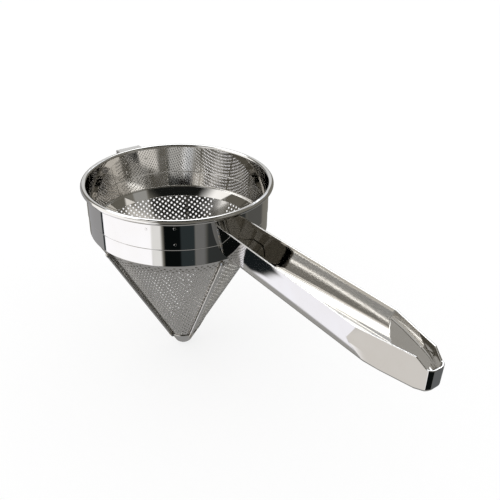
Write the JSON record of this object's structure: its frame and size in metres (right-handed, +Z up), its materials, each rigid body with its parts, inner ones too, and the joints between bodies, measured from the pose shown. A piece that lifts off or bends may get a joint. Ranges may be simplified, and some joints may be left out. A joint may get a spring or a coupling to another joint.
{
  "type": "chinois strainer",
  "caption": "Conical perforated steel strainer with a rolled collar, outer ribs, a trough handle and a pot hook opposite.",
  "frame": {"origin": "on the cone's axis, level with the middle of the rolled rim, where the mouth's straight wall starts", "axes": "+Z up the cone's axis and out of the mouth, +X along the handle away from the bowl"},
  "size_m": [0.4675, 0.203, 0.2136],
  "materials": {
    "polished_steel": "mirror-polished stainless steel",
    "perforated_steel": "punched and polished stainless steel sheet",
    "rod_steel": "drawn and polished stainless steel rod",
    "weld_steel": "ground stainless steel weld"
  },
  "bodies": {
    "root": {"collar": "polished_steel", "rim_wire": "rod_steel", "cone": "perforated_steel", "tip_cup": "polished_steel", "rib_1": "rod_steel", "rib_2": "rod_steel", "rib_3": "rod_steel", "rib_4": "rod_steel", "rib_5": "rod_steel", "rib_top_welds": "weld_steel", "rib_tip_welds": "weld_steel", "handle": "polished_steel", "handle_welds": "weld_steel", "hook": "polished_steel", "collar_spots": "weld_steel", "hook_spots": "weld_steel", "seam_spots": "weld_steel", "flange_spots": "weld_steel"}
  },
  "joints": []
}
